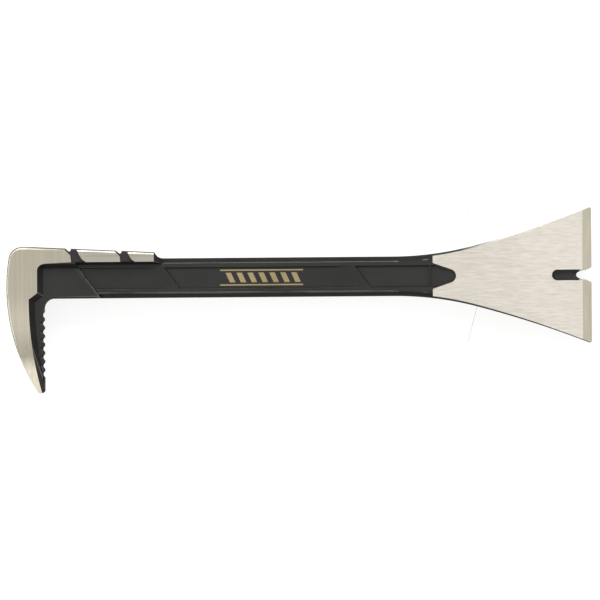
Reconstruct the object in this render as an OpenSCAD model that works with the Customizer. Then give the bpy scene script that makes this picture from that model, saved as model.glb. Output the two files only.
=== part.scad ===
// Claw bar: a toothed hook with a forked nail claw, a ribbed shank and a splayed blade.
// It lies on its side on a bench. X runs from the back of the hook to the blade's edge,
// Y from the claw's tip up to the striking face, and Z is the bar's thickness.
// The real bar is one steel forging. The nodes are its ground faces and its coated zones,
// and they meet face to face. Sizes in the modules are in the bar's own coordinates:
// X = 0 at the back of the hook, Y = 0 and Z = 0 on the shank's centre line.

/* [Overall] */
// Length from the back of the hook to the blade's edge
bar_length = 254; // [225:1:310]
// Depth of the claw's tip below the shank's centre line
claw_reach = 49.5; // [40:0.5:60]
// Height of the striking face above the shank's centre line
head_height = 13.9; // [12.5:0.1:17]
// Thickness of the hook and the striking pads
head_thickness = 19; // [15.6:0.2:23]
// Width of the blade at its edge
blade_width = 58.9; // [49:0.1:70.7]

/* [Hook] */
// Depth of the hook from its back to its inner edge
claw_depth = 16.4; // [13.6:0.1:19.7]
// Width of the ground cheek at the top of the hook
cheek_width = 9.6; // [8:0.1:11.6]
// Width of the ground cheek beside the elbow
elbow_cheek_width = 13.3; // [12.2:0.1:15.4]
// Thickness of the coated web between the two cheek walls
hook_web_thickness = 13; // [12.6:0.1:15]
// Run of the sloping wall between a cheek and the web
wall_run = 2.6; // [1.4:0.1:3.2]
// Radius of the corner between the shank and the hook's inner edge
throat_radius = 4.3; // [3:0.1:5.6]
// Radius along the outer edges of the hook and the pads
edge_radius = 1.2; // [0.6:0.1:1.6]
// Radius of the corner between the hook's back and the striking face
heel_radius = 6; // [4:0.5:7.5]
// Thickness of the claw at its tip
tip_thickness = 12; // [10:0.2:12.4]
// Width of the nail fork at the claw's tip
fork_mouth = 5.8; // [4.8:0.1:6.9]
// Width of the nail fork at its closed end
fork_root = 3; // [2.4:0.1:3.6]
// Length of the nail fork up from the tip
fork_length = 27; // [18:0.5:29]

/* [Teeth] */
// Number of gripping teeth along the hook's inner edge
tooth_count = 7; // [3:1:7]
// Distance from one tooth to the next
tooth_pitch = 3.66; // [2.8:0.02:3.9]
// Height of a tooth above the valleys beside it
tooth_height = 0.65; // [0.4:0.05:0.8]

/* [Striking pads] */
// Distance from the hook's back to the end of the last pad
pads_length = 64; // [60:0.5:76]
// Fall of the striking face along the pads
pads_fall = 2.6; // [1.6:0.1:3.4]
// Start of the first groove, along the striking face
first_groove = 24.6; // [22:0.1:27]
// Start of the second groove, along the striking face
second_groove = 46.6; // [42:0.1:50]
// Width of a groove in the striking face
groove_width = 5.7; // [4.4:0.1:6.8]
// Depth of a groove in the side of the head
groove_depth = 1.2; // [0.6:0.1:1.8]
// Depth of the nick that each groove leaves in the striking face
nick_depth = 1.4; // [0.8:0.1:1.8]

/* [Shank] */
// Width of the shank across both rails
shank_width = 17.2; // [15:0.1:20.6]
// Thickness of the shank over its rails
shank_thickness = 12.4; // [10.4:0.1:12.6]
// Width of a rail from its outer side to the panels
rail_width = 3.8; // [3.3:0.1:4.3]
// Width of a rail's sloping outer edge
rail_bevel = 2.1; // [1.6:0.1:2.5]
// Lean of the steps between the panels, in degrees from upright
lean_angle = 36; // [20:1:40]
// Place of the first step on the centre line, from the hook's back
first_step = 35.1; // [32:0.1:38]
// Distance from the first step to the second
second_step = 37.1; // [30:0.1:42]
// Distance from the blade's root back to the third step
third_step = 30.1; // [25:0.1:36]
// Length of the ramp up to each step
ramp_length = 11; // [8:0.5:14]
// Depth of the panels below the rails
panel_depth = 1; // [0.7:0.05:1.2]

/* [Blade] */
// Length of the ground blade
blade_length = 69; // [58:0.5:82]
// Thickness of the blade at its root
blade_root_thickness = 13; // [12.7:0.1:15]
// Thickness of the blade where its end bevel starts
blade_tip_thickness = 1.75; // [1.5:0.05:2.1]
// Thickness of the edge itself
edge_thickness = 0.5; // [0.4:0.05:0.8]
// Length of the end bevel
bevel_length = 3.9; // [3:0.1:4.6]
// Length of the flared neck behind the blade
neck_length = 17; // [14:0.5:20]
// Radius of the neck's flare
neck_radius = 140; // [118:1:168]
// Length of the coated tongue that runs out into the blade's face
tongue_length = 10.1; // [8:0.1:12]
// Width of the tongue at the blade's root
tongue_width = 11.3; // [9.4:0.1:12]
// Width of the tongue's round end
tongue_end_width = 6; // [4.6:0.1:7.2]

/* [Nail slot] */
// Width of the nail slot in the blade
slot_width = 4.2; // [3.5:0.1:5.1]
// Length of the nail slot from the blade's edge
slot_length = 17; // [14.1:0.1:20.4]
// Distance from the blade's edge to where the slot opens to the back
slot_break = 6.3; // [5.3:0.1:7.6]
// Width of the slot's flared mouth
mouth_width = 6.8; // [6.1:0.1:8.2]

/* [Finish] */
// Thickness of the coat left in the slot and along the blade's sides
coat_thickness = 0.25; // [0.2:0.05:0.4]
// Length of the printed mark
mark_length = 36; // [30:1:43]
// Height of the printed mark
mark_height = 7; // [5:0.5:7.6]

/* [Hidden] */
$fn = 64;
far = 400;
steel = [0.74, 0.71, 0.66];
coat = [0.2, 0.2, 0.2];
print_tan = [0.58, 0.51, 0.35];

head_half = head_thickness / 2;
web_half = hook_web_thickness / 2;
shank_half = shank_width / 2;
rail_half = shank_thickness / 2;
panel_half = shank_half - rail_width;
floor_half = rail_half - panel_depth;
recess_half = panel_half - 0.1;
recess_draft = 0.4;

// Back of the hook: one arc, furthest back a little below the centre line
back_level = -4;
tip_flat = 2.7;
tip_round = 1.3;
back_drop = claw_reach + back_level;
tip_back = claw_depth - tip_flat;
back_radius = (tip_back * tip_back + back_drop * back_drop) / (2 * tip_back);
heel_kink = 10;
heel_centre_y = head_height - heel_radius * cos(heel_kink);
heel_rise = heel_centre_y - back_level;
heel_reach = sqrt(back_radius * back_radius + heel_radius * heel_radius
    - 2 * back_radius * heel_radius * cos(heel_kink));
heel_centre_x = back_radius - sqrt(heel_reach * heel_reach - heel_rise * heel_rise);
heel_turn = asin(heel_rise / heel_reach);

// Striking face: level over the hook, then falling to the end of the pads
fall_start = 12;
fall_angle = atan2(pads_fall, pads_length - fall_start);
face_depth = 12;
shoulder_run = 4;
shoulder_crest = 1.2;

// Edge of the coat inside the head
elbow_top = 6.5;
pads_floor = 7.2;
elbow_corner = 3;
cheek_step_top = -6.1;
cheek_step_bottom = -8.8;
cheek_arc_level = -9.6;
cheek_tip_gap = 1.6;
cheek_run = claw_depth - cheek_tip_gap - cheek_width;
cheek_drop = claw_reach - 1.1 + cheek_arc_level;
cheek_radius = (cheek_run * cheek_run + cheek_drop * cheek_drop) / (2 * cheek_run);
wall_height = head_half - web_half;

// The cheeks close in towards the tip
taper_start = -0.58 * claw_reach;
taper_end = -0.93 * claw_reach;

// Inner edge of the hook
tooth_root = claw_depth - tooth_height;
throat_y = -shank_half - throat_radius;
throat_x = claw_depth + throat_radius;
teeth_start = throat_y - 2.8;
teeth_end = teeth_start - tooth_count * tooth_pitch;

// Shank, neck and blade along X
blade_root = bar_length - blade_length;
neck_start = blade_root - neck_length;
step_places = [first_step, first_step + second_step, blade_root - third_step];
step_chamfer = 1.5;
step_drop = 0.4;
wall_foot = 0.15;
rail_side = 4;
side_draft = 0.1;

// Flare of the neck and the blade: two arcs that meet at flare_turn, a tenth steeper than their chord
flare_turn = 1.1 * atan2(blade_width / 2 - shank_half, bar_length - neck_start);
flare_x = neck_start + neck_radius * sin(flare_turn);
flare_y = shank_half + neck_radius * (1 - cos(flare_turn));
corner_radius = 0.9;
corner_slope = 23;
corner_gain = corner_radius * (tan(corner_slope) + 1 / cos(corner_slope) - 1);
flare_dx = bar_length - flare_x;
flare_dy = blade_width / 2 + corner_gain - flare_y;
flare_lift = flare_dy * cos(flare_turn) - flare_dx * sin(flare_turn);
flare_radius = (flare_dx * flare_dx + flare_dy * flare_dy) / (2 * flare_lift);
flare_centre_x = flare_x - flare_radius * sin(flare_turn);
flare_centre_y = flare_y + flare_radius * cos(flare_turn);

blade_slope = (blade_root_thickness - blade_tip_thickness) / 2 / (blade_length - bevel_length);
tongue_round_x = blade_root + tongue_length - tongue_end_width / 2;
tongue_inset = 0.6;
slot_end_x = bar_length - slot_length + slot_width / 2;
slot_floor = -0.35;
break_run = 4.2;
mouth_start = bar_length - 2.1;

// Moves the bar's own coordinates to the part's: origin under the middle, on the lower cheek
module place() {
    translate([-bar_length / 2, claw_reach / 2 - blade_width / 4, head_half]) children();
}

// The same cut from the front and from the back
module both_faces() {
    children();
    mirror([0, 0, 1]) children();
}

// The same cut above and below the centre line
module both_sides() {
    children();
    mirror([0, 1, 0]) children();
}

// Solid whose outline is in X and Y, over the given half thickness
module slab(half) {
    linear_extrude(height = 2 * half, center = true) children();
}

// Solid whose section is in X and Z, all along Y
module along_y() {
    rotate([90, 0, 0]) linear_extrude(height = far, center = true) children();
}

// Solid whose section is in Y and Z, from one X to another
module along_x(from, to) {
    translate([from, 0, 0]) rotate([90, 0, 90]) linear_extrude(height = to - from) children();
}

// Everything in the XY plane left of the leaning line that crosses the centre line at x
module left_of_step(x) {
    rotate(lean_angle) translate([-far, -far / 2]) square([far + x * cos(lean_angle), far]);
}

// Solid whose section is across a leaning step at x, with X of the section measured square to it
module along_step(x) {
    translate([x, 0, 0]) rotate([0, 0, lean_angle]) rotate([90, 0, 0])
        linear_extrude(height = far, center = true) children();
}

// Section of the head's rim, rounded along its outer edges; X is the distance from the centre
module rim_section(outer, depth) {
    polygon(concat(
        [[outer - depth, -head_half]],
        [for (turn = [0:30:90])
            [outer - edge_radius * (1 - sin(turn)), edge_radius * (1 - cos(turn)) - head_half]],
        [for (turn = [0:30:90])
            [outer - edge_radius * (1 - cos(turn)), head_half - edge_radius * (1 - sin(turn))]],
        [[outer - depth, head_half]]
    ));
}

// Rounded disc of the head's thickness
module rim_disc(radius) {
    rotate_extrude($fn = 180) rim_section(radius, radius);
}

// Rim below the falling part of the striking face
module falling_rim(depth) {
    translate([fall_start, head_height, 0]) rotate([0, 0, -fall_angle])
        along_x(-fall_start - 30, pads_length + 10) rim_section(0, depth);
}

// Corner that the heel's rounding takes off between the back and the striking face
module heel_corner() {
    translate([heel_centre_x, heel_centre_y, 0]) difference() {
        slab(head_thickness) polygon([
            [0, 0],
            [-4 * heel_radius * cos(heel_turn), 4 * heel_radius * sin(heel_turn)],
            [-4 * heel_radius, 4 * heel_radius],
            [0, 4 * heel_radius]
        ]);
        rim_disc(heel_radius);
    }
}

// Back of the hook, heel and striking face
module hook_rim() {
    difference() {
        intersection() {
            translate([back_radius, back_level, 0]) rim_disc(back_radius);
            along_x(-10, pads_length) rim_section(head_height, far / 4);
            falling_rim(far / 4);
        }
        heel_corner();
    }
}

// Height of the falling face at x
function face_y(x) = head_height - (x - fall_start) * tan(fall_angle);

// Height of a groove from the floor of the pads to the falling face
function groove_height(start) = face_y(start) - pads_floor;

// Knee of a groove's leading edge, which leans down to half height and is nearly upright below
function groove_knee(start) = [start + 0.52 * groove_height(start), face_y(start) - groove_height(start) / 2];

// Where a groove's leading edge reaches the floor of the pads
function groove_foot(start) = [start + 0.58 * groove_height(start), pads_floor];

// Side view of one groove between two pads
module groove_outline(start) {
    tall = groove_height(start);
    after = start + groove_width;
    polygon([
        [start - 2, face_y(start) + 2],
        [after - 0.4, face_y(start) + 2],
        [after, face_y(start)],
        [after + 0.22 * tall, face_y(start) - 0.5 * tall],
        [after + 0.42 * tall, face_y(start) - 0.8 * tall],
        [after + 0.7 * tall, pads_floor],
        groove_foot(start),
        groove_knee(start)
    ]);
}

// Everything in the XY plane before a groove's leading edge
module before_groove(start) {
    polygon([
        [-far, face_y(start) + 2],
        [start - 2, face_y(start) + 2],
        groove_knee(start),
        groove_foot(start),
        [groove_foot(start)[0], -far],
        [-far, -far]
    ]);
}

// Everything inside the coat's edge: elbow, hook web and the band below the pads
module coated_outline() {
    difference() {
        polygon([
            [cheek_width - 1, -far],
            [cheek_width - 1, cheek_step_bottom - 0.2],
            [cheek_width + 0.05, cheek_step_bottom],
            [elbow_cheek_width, cheek_step_top],
            [elbow_cheek_width, elbow_top],
            groove_foot(first_groove),
            [far, pads_floor],
            [far, -far]
        ]);
        difference() {
            translate([0, cheek_step_bottom - 0.1 - far]) square([2 * claw_depth, far]);
            translate([cheek_width + cheek_radius, cheek_arc_level])
                circle(cheek_radius, $fn = 180);
        }
        translate([elbow_cheek_width, elbow_top - elbow_corner]) difference() {
            translate([-1, 0]) square([1 + elbow_corner, elbow_corner + 1]);
            translate([elbow_corner, 0]) circle(elbow_corner);
        }
    }
}

// What the sloping walls leave free in front of the elbow and the hook's web
module front_relief() {
    intersection() {
        along_y() polygon([
            [elbow_cheek_width - wall_run, head_half + wall_height],
            [elbow_cheek_width + wall_run, web_half],
            [far, web_half],
            [far, head_half + wall_height]
        ]);
        along_x(0, far) polygon([
            [elbow_top + 0.75 * wall_run, head_half + wall_height],
            [elbow_top - 0.75 * wall_run, web_half],
            [-far, web_half],
            [-far, head_half + wall_height]
        ]);
    }
    intersection() {
        translate([cheek_width + cheek_radius, cheek_arc_level, web_half]) cylinder(
            h = 2 * wall_height,
            r1 = cheek_radius - wall_run,
            r2 = cheek_radius + wall_run,
            $fn = 180
        );
        translate([cheek_width, cheek_step_bottom, 0]) rotate([0, 0, 37.5]) along_x(-far, far)
            polygon([
                [wall_run, head_half + wall_height],
                [-wall_run, web_half],
                [-far, web_half],
                [-far, head_half + wall_height]
            ]);
    }
}

// The cheeks' taper towards the claw's tip, as seen from the hook's back
module cheek_taper() {
    along_x(-10, far) polygon([
        [20, head_half],
        [taper_start, head_half],
        [taper_end, web_half],
        [2 - claw_reach, web_half - 0.1],
        [-claw_reach, tip_thickness / 2],
        [-claw_reach, -tip_thickness / 2],
        [2 - claw_reach, 0.1 - web_half],
        [taper_end, -web_half],
        [taper_start, -head_half],
        [20, -head_half]
    ]);
}

// Nail fork, open at the tip and through from the hook's back to its inner edge
module fork_slot() {
    root_y = fork_length - fork_root / 2 - claw_reach;
    along_x(-10, 40) union() {
        polygon([
            [-claw_reach - 1, fork_mouth / 2],
            [root_y, fork_root / 2],
            [root_y, -fork_root / 2],
            [-claw_reach - 1, -fork_mouth / 2]
        ]);
        translate([root_y, 0]) circle(fork_root / 2);
    }
}

// Ground steel from the claw's tip up the back, round the heel and along the first pad
module hook_spine() {
    color(steel) place() intersection() {
        difference() {
            intersection() {
                hook_rim();
                slab(head_thickness) before_groove(first_groove);
            }
            slab(head_thickness) coated_outline();
            translate([0, -claw_reach - far / 2, 0]) cube(far, center = true);
            fork_slot();
        }
        cheek_taper();
    }
}

// One ground pad of the striking face, from a groove to the outline given as its child
module strike_pad(groove) {
    difference() {
        intersection() {
            falling_rim(face_depth);
            slab(head_thickness) intersection() {
                translate([0, pads_floor]) square(far);
                children();
            }
        }
        slab(head_thickness) union() {
            before_groove(groove);
            groove_outline(groove);
        }
    }
}

// Ground pad between the two grooves
module strike_pad_middle() {
    color(steel) place() strike_pad(first_groove) before_groove(second_groove);
}

// Ground pad behind the second groove
module strike_pad_rear() {
    color(steel) place() strike_pad(second_groove) square([pads_length, head_height]);
}

// Coated beds of the two grooves, each with a nick in the striking face
module strike_grooves() {
    color(coat) place() for (start = [first_groove, second_groove]) {
        difference() {
            intersection() {
                falling_rim(face_depth);
                slab(head_half - groove_depth) groove_outline(start);
            }
            slab(head_half) polygon([
                [start - 1, face_y(start) + 1],
                [start + 0.9, face_y(start)],
                [start + 2.4, face_y(start) - nick_depth],
                [start + 3.3, face_y(start) - 0.8 * nick_depth],
                [start + 3.6, face_y(start) + 1]
            ]);
        }
    }
}

// Section of the coated band below the pads
module shoulder_section() {
    polygon([
        [panel_half, rail_half],
        [panel_half + shoulder_crest, rail_half],
        [pads_floor, head_half],
        [head_height, head_half],
        [head_height, -head_half],
        [pads_floor, -head_half],
        [panel_half + shoulder_crest, -rail_half],
        [panel_half, -rail_half]
    ]);
}

// Coated band below the pads and the slope at their end
module head_shoulder() {
    color(coat) place() difference() {
        intersection() {
            along_x(first_step - 15, pads_length + shoulder_run) shoulder_section();
            union() {
                slab(head_half) translate([0, panel_half])
                    square([pads_length, pads_floor - panel_half]);
                intersection() {
                    slab(head_half) difference() {
                        translate([pads_length, panel_half])
                            square([shoulder_run, face_y(pads_length) - panel_half - 0.2]);
                        translate([pads_length + shoulder_run, shank_half + shoulder_run])
                            circle(shoulder_run);
                    }
                    along_y() polygon([
                        [pads_length, head_half],
                        [pads_length + shoulder_run, rail_half],
                        [pads_length + shoulder_run, -rail_half],
                        [pads_length, -head_half]
                    ]);
                }
            }
        }
        slab(head_thickness) left_of_step(first_step);
    }
}

// Coated flat at the corner of the bar, up to the first step
module elbow() {
    bottom_chamfer = 0.8;
    color(coat) place() difference() {
        slab(head_half) difference() {
            intersection() {
                coated_outline();
                left_of_step(first_step);
                translate([0, throat_y]) square(far);
            }
            translate([throat_x, -shank_half - far]) square(far);
            translate([throat_x, throat_y]) circle(throat_radius);
        }
        both_faces() front_relief();
        both_faces() intersection() {
            along_step(first_step) polygon([
                [-step_chamfer - step_drop, web_half],
                [-step_drop, web_half - step_drop],
                [0, floor_half + wall_foot],
                [step_drop, floor_half - 1],
                [step_drop, head_half + 1],
                [-step_chamfer - step_drop - 3, head_half + 1],
                [-step_chamfer - step_drop - 1, web_half + step_drop]
            ]);
            along_x(0, first_step + 20) polygon([
                [panel_half, head_half + 2],
                [panel_half, floor_half - 2],
                [-far, floor_half - 2],
                [-far, head_half + 2]
            ]);
        }
        both_faces() along_x(throat_x, first_step + 20) polygon([
            [-shank_half - 1, web_half - bottom_chamfer - 1],
            [-shank_half + bottom_chamfer, web_half],
            [-shank_half + bottom_chamfer, web_half + 1],
            [-shank_half - 1, web_half + 1]
        ]);
    }
}

// Coated web of the hook, between the cheeks' walls and the teeth
module claw_web() {
    color(coat) place() intersection() {
        difference() {
            slab(head_half) intersection() {
                coated_outline();
                difference() {
                    translate([0, -claw_reach]) square([claw_depth, claw_reach + throat_y]);
                    translate([tooth_root, teeth_end - 0.3])
                        square([far, teeth_start - teeth_end + 0.3]);
                    translate([claw_depth - tip_round, tip_round - claw_reach]) difference() {
                        translate([0, -tip_round - 1]) square([tip_round + 1, tip_round + 1]);
                        circle(tip_round);
                    }
                }
            }
            both_faces() front_relief();
            fork_slot();
        }
        cheek_taper();
    }
}

// Gripping teeth on the hook's inner edge, each split by the fork where it reaches it
module claw_teeth() {
    color(coat) place() intersection() {
        difference() {
            for (i = [0 : tooth_count - 1])
                slab(web_half) translate([tooth_root, teeth_start - (i + 0.5) * tooth_pitch])
                    polygon([
                        [0, 0.42 * tooth_pitch],
                        [tooth_height, 0.12 * tooth_pitch],
                        [tooth_height, -0.12 * tooth_pitch],
                        [0, -0.42 * tooth_pitch]
                    ]);
            fork_slot();
        }
        cheek_taper();
    }
}

// Section of the recess between the rails, from the panels' floor outwards
module recess_section() {
    top_half = recess_half + recess_draft / panel_depth;
    polygon([
        [-top_half, rail_half + 1],
        [-recess_half + recess_draft, floor_half],
        [recess_half - recess_draft, floor_half],
        [top_half, rail_half + 1]
    ]);
}

// Body between the rails from one step to the next: floor, ramp up and drop
module panel(from, to) {
    width = (to - from) * cos(lean_angle);
    ramp = ramp_length * cos(lean_angle);
    ramp_rise = (ramp - step_chamfer) / panel_depth;
    drop_rise = step_drop / (panel_depth - wall_foot);
    difference() {
        slab(rail_half) intersection() {
            translate([0, -panel_half]) square([far, 2 * panel_half]);
            difference() {
                left_of_step(to);
                left_of_step(from);
            }
        }
        both_faces() intersection() {
            union() {
                along_step(from) polygon([
                    [-1, rail_half + 1],
                    [-1, floor_half],
                    [width - ramp, floor_half],
                    [width - step_chamfer + ramp_rise, rail_half + 1]
                ]);
                along_step(to) polygon([
                    [-step_drop - drop_rise, rail_half + 1],
                    [step_drop, floor_half + 2 * wall_foot - panel_depth],
                    [step_drop, rail_half + 1]
                ]);
            }
            along_x(from - 20, to + 20) recess_section();
        }
    }
}

// Panel from the elbow to the second step
module panel_front() {
    color(coat) place() panel(step_places[0], step_places[1]);
}

// Long panel under the printed mark
module panel_middle() {
    color(coat) place() panel(step_places[1], step_places[2]);
}

// Panel from the third step to the neck
module panel_rear() {
    color(coat) place() difference() {
        slab(rail_half) difference() {
            translate([0, -panel_half]) square([neck_start, 2 * panel_half]);
            left_of_step(step_places[2]);
        }
        both_faces() along_x(step_places[2] - 20, neck_start + 1) recess_section();
    }
}

// Section of the lower rail: flat crest, sloping outer edge and a drafted side
module rail_section() {
    polygon([
        [-panel_half, rail_half],
        [-shank_half + rail_bevel, rail_half],
        [-shank_half + rail_side * side_draft, rail_side],
        [-shank_half, 0],
        [-shank_half + rail_side * side_draft, -rail_side],
        [-shank_half + rail_bevel, -rail_half],
        [-panel_half, -rail_half]
    ]);
}

// Upper rail, from the slope behind the pads to the neck
module top_rail() {
    color(coat) place() mirror([0, 1, 0]) along_x(pads_length + shoulder_run, neck_start) rail_section();
}

// Lower rail, from the elbow to the neck
module bottom_rail() {
    color(coat) place() difference() {
        along_x(first_step, neck_start) rail_section();
        slab(head_half) left_of_step(first_step);
    }
}

// Cut that leaves the flared side of the neck and the blade; the section's X is 0 on the outline
module flare_cut() {
    translate([neck_start, shank_half + neck_radius, 0]) rotate([0, 0, -90 - 1])
        rotate_extrude(angle = flare_turn + 1, $fn = 180) translate([neck_radius, 0]) children();
    translate([flare_centre_x, flare_centre_y, 0]) rotate([0, 0, flare_turn - 90])
        rotate_extrude(angle = 20, $fn = 180) translate([flare_radius, 0]) children();
}

// Section of a drafted side, moved in by inset
module drafted_side(inset) {
    reach = 12;
    polygon([
        [-30, reach],
        [inset + reach * side_draft, reach],
        [inset, 0],
        [inset + reach * side_draft, -reach],
        [-30, -reach]
    ]);
}

// Section of the neck's side, which carries on the rail's bevel
module bevelled_side() {
    polygon([
        [-30, rail_half + 1],
        [rail_bevel + 1, rail_half + 1],
        [rail_bevel, rail_half],
        [rail_side * side_draft, rail_side],
        [0, 0],
        [rail_side * side_draft, -rail_side],
        [rail_bevel, -rail_half],
        [rail_bevel + 1, -rail_half - 1],
        [-30, -rail_half - 1]
    ]);
}

// Side view of the coated tongue, moved in by inset
module tongue_outline(inset) {
    end_half = tongue_end_width / 2 - inset;
    polygon([
        [blade_root - 1, tongue_width / 2 - inset],
        [blade_root, tongue_width / 2 - inset],
        [tongue_round_x + 0.35 * end_half, 0.937 * end_half],
        [tongue_round_x + 0.35 * end_half, -0.937 * end_half],
        [blade_root, inset - tongue_width / 2],
        [blade_root - 1, inset - tongue_width / 2]
    ]);
    translate([tongue_round_x, 0]) circle(end_half);
}

// Coated neck with the recess that runs out as a tongue in the blade's face
module neck() {
    color(coat) place() difference() {
        union() {
            slab(rail_half) translate([neck_start, -shank_half - 4])
                square([neck_length, 2 * shank_half + 8]);
            intersection() {
                slab(rail_half) tongue_outline(0);
                along_y() blade_section(blade_root - 1);
            }
        }
        both_sides() flare_cut() bevelled_side();
        both_faces() intersection() {
            along_x(neck_start - 1, bar_length) recess_section();
            slab(head_half) union() {
                translate([neck_start - 1, -panel_half])
                    square([neck_length - 0.5, 2 * panel_half]);
                intersection() {
                    tongue_outline(tongue_inset);
                    translate([neck_start, -panel_half]) square([far, 2 * panel_half]);
                }
            }
        }
    }
}

// Half thickness of the blade's ground faces at x
function blade_half(x) = blade_root_thickness / 2 - (x - blade_root) * blade_slope;

// Blade seen from its side: two ground faces and the end bevel
module blade_section(from) {
    bevel_x = bar_length - bevel_length;
    polygon([
        [from, blade_half(from)],
        [bevel_x, blade_half(bevel_x)],
        [bar_length, edge_thickness / 2],
        [bar_length, -edge_thickness / 2],
        [bevel_x, -blade_half(bevel_x)],
        [from, -blade_half(from)]
    ]);
}

// Blank of the blade before its sides are cut
module blade_blank() {
    intersection() {
        slab(head_half) difference() {
            translate([blade_root, -blade_width / 2]) square([blade_length, blade_width]);
            both_sides() blade_corner();
        }
        along_y() blade_section(blade_root);
    }
}

// What rounds one corner of the blade's edge
module blade_corner() {
    centre_x = bar_length - corner_radius;
    centre_y = blade_width / 2 - corner_radius;
    translate([centre_x, centre_y]) difference() {
        polygon([
            [0, 0],
            [-corner_radius * sin(corner_slope), corner_radius * cos(corner_slope)],
            [0, 2 * corner_radius],
            [2 * corner_radius, 2 * corner_radius],
            [2 * corner_radius, 0]
        ]);
        circle(corner_radius);
    }
}

// Nail slot: a blind pocket in the front face that breaks through to the back near the edge
module nail_slot(wall) {
    half = slot_width / 2 + wall;
    translate([0, 0, slot_floor - wall]) linear_extrude(height = head_half) union() {
        translate([slot_end_x, 0]) circle(half);
        translate([slot_end_x, -half]) square([slot_length, 2 * half]);
    }
}

// Round run-out where the pocket opens to the back
module slot_runout() {
    break_x = bar_length - slot_break;
    open_x = break_x + break_run;
    drop = slot_width / 2 + blade_half(open_x) - blade_half(break_x);
    slope = atan2(drop, break_run);
    translate([open_x, 0, -blade_half(open_x)]) rotate([0, 90 + slope, 0])
        translate([0, 0, -2 * slot_width]) cylinder(h = 4 * slot_width, r = slot_width / 2);
}

// Flared mouth of the slot, right through the edge
module slot_mouth() {
    slab(head_half) polygon([
        [mouth_start, slot_width / 2],
        [bar_length - 0.4, mouth_width / 2 - 0.3],
        [bar_length + 1, mouth_width / 2],
        [bar_length + 1, -mouth_width / 2],
        [bar_length - 0.4, 0.3 - mouth_width / 2],
        [mouth_start, -slot_width / 2]
    ]);
}

// Ground blade
module blade() {
    color(steel) place() difference() {
        blade_blank();
        both_sides() flare_cut() drafted_side(coat_thickness);
        slab(head_half) tongue_outline(0);
        nail_slot(coat_thickness);
        slot_runout();
        slot_mouth();
    }
}

// Coat left along the blade's two sides
module blade_side_coat() {
    color(coat) place() difference() {
        blade_blank();
        both_sides() flare_cut() drafted_side(0);
        difference() {
            slab(head_half) translate([blade_root - 1, -blade_width])
                square([blade_length + 2, 2 * blade_width]);
            both_sides() flare_cut() drafted_side(coat_thickness);
        }
    }
}

// Coat left in the nail slot
module slot_coat() {
    color(coat) place() difference() {
        intersection() {
            along_y() blade_section(blade_root);
            nail_slot(coat_thickness);
        }
        nail_slot(0);
        slot_runout();
        slab(head_half) translate([bar_length - slot_break + 1, -slot_width]) square(far);
    }
}

// Printed mark on the long panel: slanted bars between two thin rules
module printed_mark() {
    mark_x = step_places[1] + 20.5;
    rule = 0.6;
    bar_count = 7;
    bar_pitch = mark_length / (bar_count + 0.6);
    color(print_tan) place() translate([mark_x, 0, floor_half]) linear_extrude(height = 0.06) {
        for (side = [-1, 1])
            translate([0, side * (mark_height - rule) / 2 - rule / 2]) square([mark_length, rule]);
        for (i = [0 : bar_count - 1])
            translate([(i + 0.5) * bar_pitch, 0]) polygon([
                [0, 0.3 * mark_height],
                [0.5 * bar_pitch, 0.3 * mark_height],
                [0.9 * bar_pitch, -0.3 * mark_height],
                [0.4 * bar_pitch, -0.3 * mark_height]
            ]);
    }
}

hook_spine();
strike_pad_middle();
strike_pad_rear();
strike_grooves();
head_shoulder();
elbow();
claw_web();
claw_teeth();
panel_front();
panel_middle();
panel_rear();
top_rail();
bottom_rail();
neck();
blade();
blade_side_coat();
slot_coat();
printed_mark();
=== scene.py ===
# %% [markdown]
# # A forged claw bar, finished for a picture
# The bar is one steel forging. Its faces are ground bright where it strikes, pries and pulls,
# and black powder coat stays in the recesses. The imported model already holds every zone at its
# true size, in metres, so this lesson adds what a forging and a grinding belt leave behind:
# broken edges, rounded teeth, filed hollows, grinding lines and a slightly pebbled coat.
# The frame comes first, and the box of the whole bar is kept for the steps that follow.

# %% Load the frame and measure it
import math

import bmesh
import bpy
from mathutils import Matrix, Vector
from mathutils.bvhtree import BVHTree


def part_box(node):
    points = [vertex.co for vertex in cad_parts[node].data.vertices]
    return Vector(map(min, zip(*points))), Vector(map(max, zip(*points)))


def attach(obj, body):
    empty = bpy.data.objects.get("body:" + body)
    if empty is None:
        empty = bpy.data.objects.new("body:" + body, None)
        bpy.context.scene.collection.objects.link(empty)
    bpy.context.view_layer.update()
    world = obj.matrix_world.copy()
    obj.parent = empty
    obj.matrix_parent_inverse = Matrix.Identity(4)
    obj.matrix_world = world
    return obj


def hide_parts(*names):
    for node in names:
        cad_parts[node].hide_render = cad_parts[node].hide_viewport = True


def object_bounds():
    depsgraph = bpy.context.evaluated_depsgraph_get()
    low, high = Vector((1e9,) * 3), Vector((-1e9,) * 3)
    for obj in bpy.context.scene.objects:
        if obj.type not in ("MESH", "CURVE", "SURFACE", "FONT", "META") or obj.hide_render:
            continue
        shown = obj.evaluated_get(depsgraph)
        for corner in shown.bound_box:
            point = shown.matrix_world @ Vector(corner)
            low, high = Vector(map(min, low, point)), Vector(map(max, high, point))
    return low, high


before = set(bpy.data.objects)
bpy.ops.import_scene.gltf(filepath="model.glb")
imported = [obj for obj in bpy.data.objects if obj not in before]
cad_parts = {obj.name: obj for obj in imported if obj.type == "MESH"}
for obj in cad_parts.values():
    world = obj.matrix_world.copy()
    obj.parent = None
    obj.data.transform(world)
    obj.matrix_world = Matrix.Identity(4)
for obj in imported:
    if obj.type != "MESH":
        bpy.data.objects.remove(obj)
cad_low, cad_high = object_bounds()
MM = 0.001
print("bar:", [round(size / MM, 1) for size in cad_high - cad_low], "mm")


# %% [markdown]
# ## Working on one piece at a time
# Operators act on whatever is selected, and the loaded nodes arrive selected. So each step first
# lays every other piece aside. A piece is made from a copy of its node: the node's triangles are
# loose, so the copy is stitched together and its flat faces are cleared of needless edges.

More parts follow.
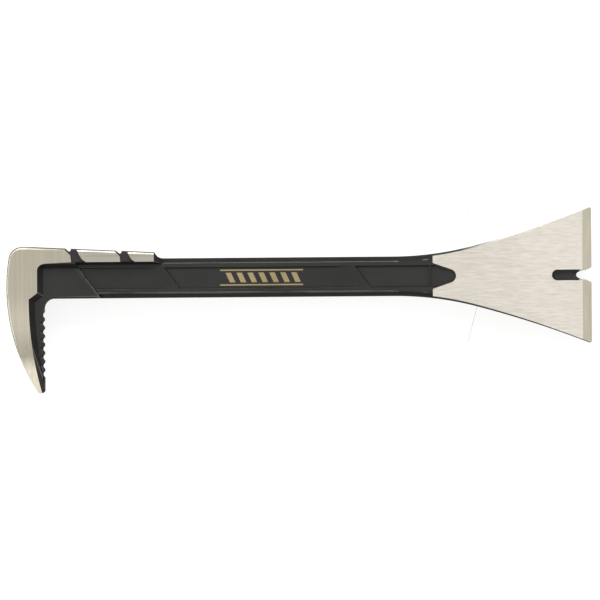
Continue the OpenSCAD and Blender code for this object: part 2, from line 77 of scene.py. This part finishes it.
# %% Hold and copy a piece
WELD = 1e-7


def hold(piece):
    bpy.ops.object.select_all(action="DESELECT")
    piece.select_set(True)
    bpy.context.view_layer.objects.active = piece


def start_edit(piece, kind="FACE"):
    hold(piece)
    bpy.ops.object.mode_set(mode="EDIT")
    bpy.ops.mesh.select_mode(type=kind)
    bpy.ops.mesh.select_all(action="DESELECT")
    return bmesh.from_edit_mesh(piece.data)


def end_edit(piece):
    bmesh.update_edit_mesh(piece.data)
    bpy.ops.object.mode_set(mode="OBJECT")


def stitched_copy(node, name, flatness=0.8):
    piece = bpy.data.objects.new(name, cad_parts[node].data.copy())
    bpy.context.scene.collection.objects.link(piece)
    piece.data.name = name
    piece.data.materials.clear()
    hold(piece)
    bpy.ops.mesh.customdata_custom_splitnormals_clear()
    mesh = start_edit(piece)
    bmesh.ops.remove_doubles(mesh, verts=mesh.verts, dist=WELD)
    bmesh.update_edit_mesh(piece.data)
    bpy.ops.mesh.select_all(action="SELECT")
    if flatness:
        bpy.ops.mesh.dissolve_limited(angle_limit=math.radians(flatness))
    end_edit(piece)
    return piece


# %% [markdown]
# ## Which faces are seams
# The zones of a forging meet face to face, and there is no gap between them on the real bar. If
# the edges of such a hidden face were bevelled, a groove would run along every seam. So each face
# is tested first: a point just outside it is looked up in the neighbouring zones, and a face with
# most of its area inside a neighbour counts as hidden. Only edges between open faces are broken.

# %% Find the hidden faces
SKIN_NODES = ("printed_mark", "slot_coat", "blade_side_coat")
LOOK = Vector((0.31, 0.47, 0.83)).normalized()
NEAR = 0.1 * MM
JUST_OUTSIDE = 0.02 * MM


def neighbours(node):
    low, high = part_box(node)
    trees = []
    for name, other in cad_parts.items():
        a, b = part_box(name)
        near = all(low[i] < b[i] + NEAR and a[i] < high[i] + NEAR for i in range(3))
        if near and name != node and name not in SKIN_NODES:
            corners = [v.co.copy() for v in other.data.vertices]
            faces = [face.vertices[:] for face in other.data.polygons]
            trees.append(BVHTree.FromPolygons(corners, faces))
    return trees


def is_inside(tree, point):
    hit, normal, _, _ = tree.ray_cast(point, LOOK)
    return hit is not None and normal.dot(LOOK) > 0


def hidden_faces(mesh, node):
    trees = neighbours(node)
    covered = {}
    for loops in mesh.calc_loop_triangles():
        face = loops[0].face
        a, b, c = (loop.vert.co for loop in loops)
        area = (b - a).cross(c - a).length / 2
        point = (a + b + c) / 3 + face.normal * JUST_OUTSIDE
        inside = any(is_inside(tree, point) for tree in trees)
        total, under = covered.get(face.index, (0, 0))
        covered[face.index] = (total + area, under + area * inside)
    return {index for index, (total, under) in covered.items() if under > 0.5 * total}


# %% [markdown]
# ## Broken edges
# A coated forging has edges rounded by the die and the coat, about a third of a millimetre. Ground
# steel has crisper ones. A bevel operator on the chosen edges makes them, and weighted normals
# keep the big faces flat next to the narrow bevels.

# %% Break the open edges
BEVEL_STEPS = 2
LEAST_TURN = 35
SHORTEST_EDGE = 0.7 * MM
BEVELS_PER_FACE = 2.2


def break_edges(piece, node, width, from_x):
    mesh = start_edit(piece, "EDGE")
    mesh.faces.layers.float.new("broken_edge")
    mesh.faces.index_update()
    hidden = hidden_faces(mesh, node)
    chosen = 0
    for edge in mesh.edges:
        faces = edge.link_faces
        if len(faces) != 2 or faces[0].index in hidden or faces[1].index in hidden:
            continue
        if min(corner.co.x for corner in edge.verts) < from_x or not edge.is_convex:
            continue
        narrow = min(face.calc_area() / max(e.calc_length() for e in face.edges) for face in faces)
        turn = math.degrees(faces[0].normal.angle(faces[1].normal, 0))
        roomy = narrow > BEVELS_PER_FACE * width
        if turn > LEAST_TURN and roomy and edge.calc_length() > SHORTEST_EDGE:
            edge.select_set(True)
            chosen += 1
    if chosen:
        bpy.ops.mesh.bevel(offset=width, segments=BEVEL_STEPS, profile=0.5, affect="EDGES",
                           clamp_overlap=False, miter_outer="SHARP", loop_slide=True)
        mesh = bmesh.from_edit_mesh(piece.data)
        mark = mesh.faces.layers.float["broken_edge"]
        for face in mesh.faces:
            face[mark] = 1.0 if face.select else 0.0
    end_edit(piece)
    low, high = (Vector([pick(v.co[i] for v in piece.data.vertices) for i in range(3)])
                 for pick in (min, max))
    grown = max((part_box(node)[0] - low).length, (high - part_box(node)[1]).length) / MM
    print(f"{piece.name}: {len(hidden)} seam faces, {chosen} edges broken, "
          f"box off by {grown:.3f} mm")


def settle_normals(piece, angle=32):
    hold(piece)
    bpy.ops.object.shade_smooth_by_angle(angle=math.radians(angle))
    weighted = piece.modifiers.new("flat_faces_stay_flat", "WEIGHTED_NORMAL")
    weighted.keep_sharp = True
    weighted.weight = 80
    bpy.ops.object.modifier_apply(modifier=weighted.name)


# %% [markdown]
# ## Effects shared by the finishes
# Three effects come back in several finishes, so each is a node group with named inputs. Grinding
# lines are noise stretched a hundredfold or more along the belt's direction, with wide bands and
# smudges over them. Coat grain is the pebbled skin of powder coat, about half a millimetre across.
# Edge wear takes the band that each broken edge was marked with, and breaks it up with noise, so
# that some of the edge stays fresh. The lighter colour it lays on the edges is partly real wear and
# partly painted highlight.

# %% Build an effect
def new_group(name, inputs, outputs):
    group = bpy.data.node_groups.new(name, "ShaderNodeTree")
    for label, kind, value in inputs:
        socket = group.interface.new_socket(label, in_out="INPUT", socket_type=kind)
        if value is not None:
            socket.default_value = value
    for label, kind in outputs:
        group.interface.new_socket(label, in_out="OUTPUT", socket_type=kind)
    return group, group.nodes.new("NodeGroupInput"), group.nodes.new("NodeGroupOutput")


def add(tree, kind, links=(), **settings):
    node = tree.nodes.new(kind)
    for key, value in settings.items():
        setattr(node, key, value)
    for key, source in dict(links).items():
        if isinstance(source, bpy.types.NodeSocket):
            tree.links.new(source, node.inputs[key])
        else:
            node.inputs[key].default_value = source
    return node


def spread(tree, value, low, high, to_low=0.0, to_high=1.0):
    return add(tree, "ShaderNodeMapRange", {"Value": value, "From Min": low, "From Max": high,
                                           "To Min": to_low, "To Max": to_high}).outputs["Result"]


# %% Grinding lines
lines_group, taken, given = new_group(
    "grinding_lines",
    [("Place", "NodeSocketVector", None), ("Along Belt", "NodeSocketVector", (20, 2400, 2400)),
     ("Smudge Size", "NodeSocketFloat", 60.0)],
    [("Lines", "NodeSocketFloat"), ("Shade", "NodeSocketFloat")])
tree = lines_group
stretched = add(tree, "ShaderNodeVectorMath", {
    0: taken.outputs["Place"], 1: taken.outputs["Along Belt"]}, operation="MULTIPLY")
fine = add(tree, "ShaderNodeTexNoise", {"Vector": stretched.outputs[0], "Scale": 1.0, "Detail": 5.0,
                                        "Roughness": 0.62})
wide_place = add(tree, "ShaderNodeVectorMath", {0: stretched.outputs[0], 1: (0.16, 0.16, 0.16)},
                 operation="MULTIPLY")
wide = add(tree, "ShaderNodeTexNoise", {"Vector": wide_place.outputs[0], "Scale": 1.0,
                                        "Detail": 3.0})
smudge = add(tree, "ShaderNodeTexNoise", {"Vector": taken.outputs["Place"],
                                          "Scale": taken.outputs["Smudge Size"], "Detail": 3.0})
tree.links.new(fine.outputs["Fac"], given.inputs["Lines"])
both = add(tree, "ShaderNodeMath", {
    0: spread(tree, wide.outputs["Fac"], 0.3, 0.7),
    1: spread(tree, smudge.outputs["Fac"], 0.3, 0.7)}, operation="ADD")
half = add(tree, "ShaderNodeMath", {0: both.outputs[0], 1: 0.5}, operation="MULTIPLY")
tree.links.new(half.outputs[0], given.inputs["Shade"])
print("effect:", lines_group.name)

# %% Coat grain
grain_group, taken, given = new_group(
    "coat_grain",
    [("Place", "NodeSocketVector", None), ("Pebble Scale", "NodeSocketFloat", 2100.0)],
    [("Height", "NodeSocketFloat"), ("Patch", "NodeSocketFloat"), ("Speck", "NodeSocketFloat")])
tree = grain_group
pebbles = add(tree, "ShaderNodeTexNoise", {"Vector": taken.outputs["Place"],
                                           "Scale": taken.outputs["Pebble Scale"], "Detail": 2.0})
patch = add(tree, "ShaderNodeTexNoise", {"Vector": taken.outputs["Place"], "Scale": 70.0,
                                         "Detail": 4.0})
speck = add(tree, "ShaderNodeTexVoronoi", {"Vector": taken.outputs["Place"], "Scale": 900.0})
tree.links.new(pebbles.outputs["Fac"], given.inputs["Height"])
tree.links.new(spread(tree, patch.outputs["Fac"], 0.3, 0.7), given.inputs["Patch"])
tree.links.new(spread(tree, speck.outputs["Distance"], 0.16, 0.04), given.inputs["Speck"])
print("effect:", grain_group.name)

# %% Edge wear and painted highlight
# The mask lightens broken edges: partly real wear, partly painted highlight.
wear_and_highlight_group, taken, given = new_group(
    "edge_wear_and_painted_highlight",
    [("Place", "NodeSocketVector", None), ("Band", "NodeSocketFloat", 0.0),
     ("Break Up", "NodeSocketFloat", 500.0)],
    [("Mask", "NodeSocketFloat")])
tree = wear_and_highlight_group
patches = add(tree, "ShaderNodeTexNoise", {"Vector": taken.outputs["Place"],
                                           "Scale": taken.outputs["Break Up"], "Detail": 3.0})
kept = spread(tree, patches.outputs["Fac"], 0.3, 0.52)
mask = add(tree, "ShaderNodeMath", {0: taken.outputs["Band"], 1: kept}, operation="MULTIPLY")
tree.links.new(mask.outputs[0], given.inputs["Mask"])
print("effect:", wear_and_highlight_group.name)


# %% [markdown]
# ## The finishes
# Ground steel is bare metal: a metallic shader whose roughness and bump follow the grinding lines.
# The blade is ground along the bar and the hook along its own length, so the lines turn. The coat
# is a dark, half-matt skin over the forging with its pebbles as bump. Its wear, partly real wear
# and partly painted highlight on the broken edges, is drawn out along the bar. On the blade's upper
# side a coat of its own fades to a pale steel colour away from the root: a painted reflection of
# the light that side faces. The print is tan ink.

# %% Start a material
def new_material(name):
    material = bpy.data.materials.new(name)
    material.use_nodes = True
    tree = material.node_tree
    tree.nodes.clear()
    shader = add(tree, "ShaderNodeBsdfPrincipled")
    add(tree, "ShaderNodeOutputMaterial", {"Surface": shader.outputs["BSDF"]})
    place = add(tree, "ShaderNodeTexCoord").outputs["Object"]
    return material, tree, shader, place


def edge_band(tree):
    return add(tree, "ShaderNodeAttribute", attribute_name="broken_edge").outputs["Fac"]


def effect(tree, group, **values):
    node = add(tree, "ShaderNodeGroup", node_tree=group)
    for label, value in values.items():
        label = label.replace("_", " ")
        if isinstance(value, bpy.types.NodeSocket):
            tree.links.new(value, node.inputs[label])
        else:
            node.inputs[label].default_value = value
    return node


FACTOR_IN, FIRST_COLOUR_IN, SECOND_COLOUR_IN, COLOUR_OUT = 0, 6, 7, 2


def blend_colours(tree, factor, first, second):
    mix = add(tree, "ShaderNodeMix", data_type="RGBA")
    given = ((FACTOR_IN, factor), (FIRST_COLOUR_IN, first), (SECOND_COLOUR_IN, second))
    for index, value in given:
        if isinstance(value, bpy.types.NodeSocket):
            tree.links.new(value, mix.inputs[index])
        else:
            mix.inputs[index].default_value = value
    return mix.outputs[COLOUR_OUT]


# %% Ground steel
def ground_steel(name, light, dark, belt, roughness=0.36, depth=0.02 * MM, painted_light_bands=None):
    material, tree, shader, place = new_material(name)
    lines = effect(tree, lines_group, Place=place, Along_Belt=belt)
    wear_and_highlight = effect(tree, wear_and_highlight_group, Place=place, Band=edge_band(tree))
    shade = blend_colours(tree, lines.outputs["Shade"], dark, light)
    # Each painted light band multiplies the colour between two places along one axis: painted
    # highlight above one, painted shade below one.
    for axis, start, end, gain in painted_light_bands or ():
        parts = add(tree, "ShaderNodeSeparateXYZ", {"Vector": place})
        painted_light = spread(tree, parts.outputs[axis], start, end, 1.0, gain)
        with_painted_light = add(tree, "ShaderNodeVectorMath", {0: shade, 1: painted_light}, operation="MULTIPLY")
        shade = with_painted_light.outputs[0]
    streak = spread(tree, lines.outputs["Lines"], 0.3, 0.7, 0.86, 1.06)
    streaked = add(tree, "ShaderNodeVectorMath", {0: shade, 1: streak}, operation="MULTIPLY")
    # Broken edges painted lighter: partly polish, partly painted highlight.
    polished_and_highlit = blend_colours(tree, wear_and_highlight.outputs["Mask"], streaked.outputs[0], (0.93, 0.91, 0.86, 1))
    tree.links.new(polished_and_highlit, shader.inputs["Base Color"])
    rough = spread(tree, lines.outputs["Lines"], 0.3, 0.7, roughness - 0.06, roughness + 0.08)
    tree.links.new(rough, shader.inputs["Roughness"])
    shader.inputs["Metallic"].default_value = 1.0
    bump = add(tree, "ShaderNodeBump", {"Height": lines.outputs["Lines"], "Strength": 0.5,
                                        "Distance": depth})
    tree.links.new(bump.outputs["Normal"], shader.inputs["Normal"])
    return material


tip_y, end_x = cad_low.y, cad_high.x
# The blade's colour lightens over the last 60 mm towards its end: a painted sheen.
blade_steel = ground_steel("ground_steel_blade", (0.82, 0.775, 0.705, 1), (0.76, 0.705, 0.63, 1),
                           (7, 2300, 2300), painted_light_bands=[("X", end_x - 60 * MM, end_x, 1.12)])
# The edge bevel's colour is painted darker: painted shade for its steeper slope.
edge_steel = ground_steel("ground_steel_edge", (0.655, 0.61, 0.5, 1), (0.59, 0.55, 0.445, 1),
                          (1800, 60, 1800))
# The hook's three bands along its length are painted light: a lighter band high up, a band of
# painted shade lower down and a strong painted highlight near the tip.
hook_steel = ground_steel("ground_steel_hook", (0.56, 0.52, 0.43, 1), (0.47, 0.44, 0.35, 1),
                          (2300, 10, 2300), painted_light_bands=[
                              ("Y", tip_y + 44 * MM, tip_y + 33 * MM, 1.22),
                              ("Y", tip_y + 28 * MM, tip_y + 21 * MM, 0.8),
                              ("Y", tip_y + 16 * MM, tip_y + 10 * MM, 1.95)])
pad_steel = ground_steel("ground_steel_pads", (0.53, 0.495, 0.435, 1), (0.46, 0.43, 0.375, 1),
                         (12, 2300, 2300))
print("finishes:", blade_steel.name, hook_steel.name, pad_steel.name)


# %% Black powder coat
def powder_coat(name, body, lift, roughness):
    material, tree, shader, place = new_material(name)
    grain = effect(tree, grain_group, Place=place)
    along_bar = add(tree, "ShaderNodeVectorMath", {0: place, 1: (0.12, 1, 1)}, operation="MULTIPLY")
    wear_and_highlight = effect(tree, wear_and_highlight_group, Place=along_bar.outputs[0], Band=edge_band(tree))
    patched = blend_colours(tree, grain.outputs["Patch"], body, lift)
    specked = blend_colours(tree, grain.outputs["Speck"], patched, (0.045, 0.044, 0.042, 1))
    # Broken edges painted lighter grey: partly worn coat, partly painted highlight.
    worn_and_highlit = blend_colours(tree, wear_and_highlight.outputs["Mask"], specked, (0.075, 0.074, 0.072, 1))
    tree.links.new(worn_and_highlit, shader.inputs["Base Color"])
    shader.inputs["Specular IOR Level"].default_value = 0.42
    rough = spread(tree, grain.outputs["Patch"], 0.0, 1.0, roughness - 0.05, roughness + 0.06)
    tree.links.new(rough, shader.inputs["Roughness"])
    bump = add(tree, "ShaderNodeBump", {"Height": grain.outputs["Height"], "Strength": 0.55,
                                        "Distance": 0.04 * MM})
    tree.links.new(bump.outputs["Normal"], shader.inputs["Normal"])
    return material


COAT_BODY, COAT_LIFT = (0.0065, 0.0063, 0.0060, 1), (0.0105, 0.0103, 0.0098, 1)
coat = powder_coat("black_powder_coat", COAT_BODY, COAT_LIFT, 0.5)
groove_coat = powder_coat("thick_coat_in_grooves", (0.014, 0.0125, 0.0125, 1),
                          (0.026, 0.0235, 0.0235, 1), 0.42)
print("finishes:", coat.name, groove_coat.name)

# %% Painted reflection along the blade's upper side
FADE_ACROSS = 4 * MM
FADE_START, FADE_END = 12 * MM, 30 * MM
side_coat = powder_coat("side_coat_with_painted_reflection", COAT_BODY, COAT_LIFT, 0.5)
tree = side_coat.node_tree
shader = next(node for node in tree.nodes if node.type == "BSDF_PRINCIPLED")
place = add(tree, "ShaderNodeTexCoord").outputs["Object"]
parts = add(tree, "ShaderNodeSeparateXYZ", {"Vector": place})
blade_low, blade_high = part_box("blade")
middle_y = (blade_low.y + blade_high.y) / 2
upper = spread(tree, parts.outputs["Y"], middle_y, middle_y + FADE_ACROSS)
outer = spread(tree, parts.outputs["X"], blade_low.x + FADE_START, blade_low.x + FADE_END)
# Painted reflection: the coat's colour turns pale on the upper side, away from the root.
painted_reflection = add(tree, "ShaderNodeMath", {0: upper, 1: outer}, operation="MULTIPLY").outputs[0]
coated = shader.inputs["Base Color"].links[0].from_socket
tree.links.new(blend_colours(tree, painted_reflection, coated, (0.8, 0.78, 0.72, 1)), shader.inputs["Base Color"])
print("finish:", side_coat.name)

# %% Tan print
ink, tree, shader, place = new_material("tan_ink")
grain = effect(tree, grain_group, Place=place)
inked = blend_colours(tree, grain.outputs["Patch"], (0.25, 0.19, 0.085, 1), (0.32, 0.245, 0.12, 1))
thin = blend_colours(tree, grain.outputs["Speck"], inked, (0.12, 0.10, 0.06, 1))
tree.links.new(thin, shader.inputs["Base Color"])
shader.inputs["Roughness"].default_value = 0.55
bump = add(tree, "ShaderNodeBump", {"Height": grain.outputs["Height"], "Strength": 0.4,
                                    "Distance": 0.02 * MM})
tree.links.new(bump.outputs["Normal"], shader.inputs["Normal"])
print("finish:", ink.name)


# %% [markdown]
# ## The ground and the coated zones
# Each zone becomes a piece of its own: a stitched copy with its open edges broken and its finish
# on. It stands for its node, which stays in the physics model unseen. The thin coats in the nail
# slot and along the blade's sides, and the print, already have their true shape: they keep their
# own mesh and only take a finish. The blade's node has a fin of no thickness on each side near its
# root. That is a fault of the solid, which no real bar has, and the copy shows it as it is.

# %% Finish the zones
ZONES = {
    "hook_spine": (hook_steel, "ground_steel", 0.22 * MM),
    "strike_pad_middle": (pad_steel, "ground_steel", 0.2 * MM),
    "strike_pad_rear": (pad_steel, "ground_steel", 0.2 * MM),
    "blade": (blade_steel, "ground_steel", 0.12 * MM),
    "strike_grooves": (groove_coat, "black_coat", 0.25 * MM),
    "head_shoulder": (coat, "black_coat", 0.3 * MM),
    "elbow": (coat, "black_coat", 0.3 * MM),
    "claw_web": (coat, "black_coat", 0.3 * MM),
    "panel_front": (coat, "black_coat", 0.12 * MM),
    "panel_middle": (coat, "black_coat", 0.12 * MM),
    "panel_rear": (coat, "black_coat", 0.12 * MM),
    "top_rail": (coat, "black_coat", 0.18 * MM),
    "bottom_rail": (coat, "black_coat", 0.5 * MM),
    "neck": (coat, "black_coat", 0.3 * MM),
}
BROKEN_BLADE_END = 4.4 * MM
made = {}
for node, (finish, slot, width) in ZONES.items():
    whole = node not in ("blade", "neck")
    piece = stitched_copy(node, node + "_finished", 0.8 if whole else 0)
    from_x = cad_high.x - BROKEN_BLADE_END if node == "blade" else cad_low.x - MM
    break_edges(piece, node, width, from_x)
    settle_normals(piece)
    piece.data.materials.append(finish)
    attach(piece, "root")
    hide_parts(node)
    made[node] = piece

# %% [markdown]
# ## The blade's edge and the walls of its nail slot
# The last four millimetres of the blade are ground again, across the bar, to a steeper bevel, and
# their colour is painted a shade darker, as painted shade for the steeper slope. The walls of the
# nail slot are never ground: the coat stays on them.

# %% Give the blade's faces their finish
blade = made["blade"]
blade.data.materials.append(edge_steel)
blade.data.materials.append(groove_coat)
slot_low, slot_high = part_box("slot_coat")
EDGE_BEVEL = 3.95 * MM
LEVEL = 0.985
bevel_start = cad_high.x - EDGE_BEVEL
counts = [0, 0, 0]
for face in blade.data.polygons:
    spot = face.center
    in_slot = slot_low.x - 0.3 * MM < spot.x < bevel_start and \
        slot_low.y - 0.1 * MM < spot.y < slot_high.y + 0.1 * MM and abs(face.normal.z) < LEVEL
    face.material_index = 2 if in_slot else int(spot.x > bevel_start)
    counts[face.material_index] += 1
print("blade faces: belt-ground, bevel, slot walls", counts)

# %% Finish the thin skins
SKINS = {"blade_side_coat": side_coat, "slot_coat": groove_coat, "printed_mark": ink}
for node, finish in SKINS.items():
    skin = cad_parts[node]
    skin.data.materials.clear()
    skin.data.materials.append(finish)
    print(node, "takes", finish.name)


# %% [markdown]
# ## Gripping teeth
# The hook's inner edge carries a row of ridges, cut by a round cutter, so that narrow crests stand
# between hollow valleys. The frame holds them as plain ridges. Here each one starts as a block on
# its own ridge, a row of cylinders cuts the valleys, and a small bevel takes the sharpness off the
# crests. The hollows are cut and not drawn by hand, because that is how the real ones are made.

# %% Measure the ridges
def loose_boxes(node):
    mesh = bmesh.new()
    mesh.from_mesh(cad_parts[node].data)
    bmesh.ops.remove_doubles(mesh, verts=mesh.verts, dist=2e-6)
    left, boxes = set(mesh.verts), []
    while left:
        reach, group = [left.pop()], []
        while reach:
            corner = reach.pop()
            group.append(corner.co.copy())
            for edge in corner.link_edges:
                other = edge.other_vert(corner)
                if other in left:
                    left.remove(other)
                    reach.append(other)
        boxes.append([Vector([pick(c[i] for c in group) for i in range(3)]) for pick in (min, max)])
    mesh.free()
    return sorted(boxes, key=lambda box: (-box[0].y, box[0].z))


ridge_boxes = loose_boxes("claw_teeth")
rows = sorted({round((low.y + high.y) / 2, 5) for low, high in ridge_boxes}, reverse=True)
pitch = (rows[0] - rows[-1]) / (len(rows) - 1)
valleys = [rows[0] + pitch / 2] + [row - pitch / 2 for row in rows]
root_x, web_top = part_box("claw_teeth")[0].x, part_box("claw_teeth")[1].z
print(len(ridge_boxes), "ridges in", len(rows), "rows,", round(pitch / MM, 2), "mm apart")


# %% Block out the teeth
def block(low, high, name):
    middle, size = (low + high) / 2, high - low
    bpy.ops.object.select_all(action="DESELECT")
    bpy.ops.mesh.primitive_cube_add(size=1, location=middle, scale=(size.x, 0.98 * pitch, size.z))
    ridge = bpy.context.object
    ridge.name = ridge.data.name = name
    bpy.ops.object.transform_apply(location=True, rotation=False, scale=True)
    return ridge


def join(pieces, name):
    hold(pieces[0])
    for piece in pieces:
        piece.select_set(True)
    bpy.ops.object.join()
    pieces[0].name = pieces[0].data.name = name
    return pieces[0]


teeth = join([block(low, high, f"tooth_{i + 1:02d}") for i, (low, high) in enumerate(ridge_boxes)],
             "claw_teeth_rounded")


# %% Cut the valleys
def cut_away(piece, cutters, name):
    tool = join(cutters, name)
    hold(piece)
    cut = piece.modifiers.new(name, "BOOLEAN")
    cut.operation, cut.solver, cut.object = "DIFFERENCE", "EXACT", tool
    bpy.ops.object.modifier_apply(modifier=cut.name)
    bpy.data.objects.remove(tool)


def valley_cutters(radius=1.5 * MM, deeper=0.1 * MM):
    cutters = []
    for y in valleys:
        bpy.ops.object.select_all(action="DESELECT")
        bpy.ops.mesh.primitive_cylinder_add(vertices=48, radius=radius, depth=30 * MM,
                                            location=(root_x + radius - deeper, y, web_top / 2))
        cutters.append(bpy.context.object)
    return cutters


web = made["claw_web"]
cut_away(web, valley_cutters(), "valleys_in_web")
cut_away(teeth, valley_cutters(), "valleys_in_teeth")
mesh = start_edit(teeth, "EDGE")
crest_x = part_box("claw_teeth")[1].x
for edge in mesh.edges:
    on_crest = all(v.co.x > crest_x - 0.02 * MM for v in edge.verts)
    edge.select_set(on_crest and len(edge.link_faces) == 2 and edge.calc_face_angle(0) > 0.5)
bpy.ops.mesh.bevel(offset=0.16 * MM, segments=3, profile=0.5, affect="EDGES", clamp_overlap=True)
end_edit(teeth)
settle_normals(teeth, 40)
print(len(valleys), "valleys cut,", teeth.name, "has", len(teeth.data.polygons), "faces")

# %% [markdown]
# ## Small facets beside the valleys
# The cutter also nicked the web's two faces next to each valley, and these small hollows catch the
# light. A row of flattened balls, sunk a little into the faces, cuts them.

# %% Dish the facets
facets = []
web_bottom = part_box("claw_teeth")[0].z
for y in valleys[1:-1]:
    for z in (web_top + 0.35 * MM, web_bottom - 0.35 * MM):
        bpy.ops.object.select_all(action="DESELECT")
        bpy.ops.mesh.primitive_uv_sphere_add(segments=24, ring_count=12, radius=1.0 * MM,
                                             location=(root_x - 0.25 * MM, y, z))
        ball = bpy.context.object
        bpy.ops.transform.resize(value=(1.5, 1.0, 0.75), center_override=ball.location)
        bpy.ops.object.transform_apply(location=False, rotation=False, scale=True)
        facets.append(ball)
cut_away(web, facets, "facets")
settle_normals(web, 40)
print(len(facets), "facets,", web.name, "has", len(web.data.polygons), "faces")

# %% Hang the teeth on the frame
teeth.data.materials.append(coat)
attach(teeth, "root")
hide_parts("claw_teeth")


# %% [markdown]
# ## Floor, light and camera
# The bar lies on its side on a pale light table and is seen from straight above by a long lens. The
# sky is bright overhead and dim towards the horizon, as under a big soft box, so level faces are
# light and steep walls stay dark. One soft light beyond the striking face picks out the edges
# that look that way. The floor is kept out of the reflections, which would lift the black coat.

# %% Lay the floor
bpy.ops.object.select_all(action="DESELECT")
bpy.ops.mesh.primitive_plane_add(size=6, location=(0, 0, -0.02 * MM))
floor = bpy.context.object
floor.name = "floor"
pale, _, shader, _ = new_material("pale_floor")
shader.inputs["Base Color"].default_value = (0.28, 0.28, 0.28, 1)
shader.inputs["Emission Color"].default_value = (1, 1, 1, 1)
shader.inputs["Emission Strength"].default_value = 0.83
shader.inputs["Roughness"].default_value = 0.9
shader.inputs["Specular IOR Level"].default_value = 0.0
floor.data.materials.append(pale)
floor.visible_glossy = False

# %% Light the sky
world = bpy.data.worlds.new("soft_sky")
bpy.context.scene.world = world
world.use_nodes = True
tree = world.node_tree
tree.nodes.clear()
facing = add(tree, "ShaderNodeTexCoord").outputs["Generated"]
height = add(tree, "ShaderNodeSeparateXYZ", {"Vector": facing}).outputs["Z"]
glow = spread(tree, height, 0.0, 0.85, 0.28, 0.84)
sky = add(tree, "ShaderNodeBackground", {"Color": (1, 0.99, 0.97, 1), "Strength": glow})
backdrop = add(tree, "ShaderNodeBackground", {"Color": (0.9, 0.9, 0.9, 1), "Strength": 1.0})
path = add(tree, "ShaderNodeLightPath").outputs["Is Camera Ray"]
mixed = add(tree, "ShaderNodeMixShader", {0: path, 1: sky.outputs[0], 2: backdrop.outputs[0]})
add(tree, "ShaderNodeOutputWorld", {"Surface": mixed.outputs[0]})


# %% Hang the soft lights
def soft_light(name, power, size, where, target=(0, 0, 0)):
    lamp = bpy.data.lights.new(name, "AREA")
    lamp.energy, lamp.shape, lamp.size, lamp.size_y = power, "RECTANGLE", size[0], size[1]
    holder = bpy.data.objects.new(name, lamp)
    bpy.context.scene.collection.objects.link(holder)
    holder.location = where
    aim = Vector(target) - holder.location
    holder.rotation_mode = "QUATERNION"
    holder.rotation_quaternion = aim.to_track_quat("-Z", "Y")
    return holder


soft_light("key_beyond_the_striking_face", 19, (1.6, 0.7), (0.0, 1.05, 0.95))
soft_light("rim_behind_the_hook", 6, (1.4, 0.5), (-1.2, 0.1, 0.45))

# %% Set up the camera
ACROSS = 260.6 * MM
LENS, SENSOR = 900, 36
MIDDLE_PLANE = 9.5 * MM
ROLL = math.radians(0.46)
lens = bpy.data.cameras.new("long_lens")
lens.lens, lens.sensor_width = LENS, SENSOR
camera = bpy.data.objects.new("camera", lens)
bpy.context.scene.collection.objects.link(camera)
away = ACROSS / 2 / (SENSOR / 2 / LENS)
camera.location = (0.3 * MM, 0.05 * MM, away + MIDDLE_PLANE)
camera.rotation_euler = (0, 0, -ROLL)
lens.clip_end = 20
bpy.context.scene.camera = camera
bpy.context.scene.view_settings.view_transform = "Standard"
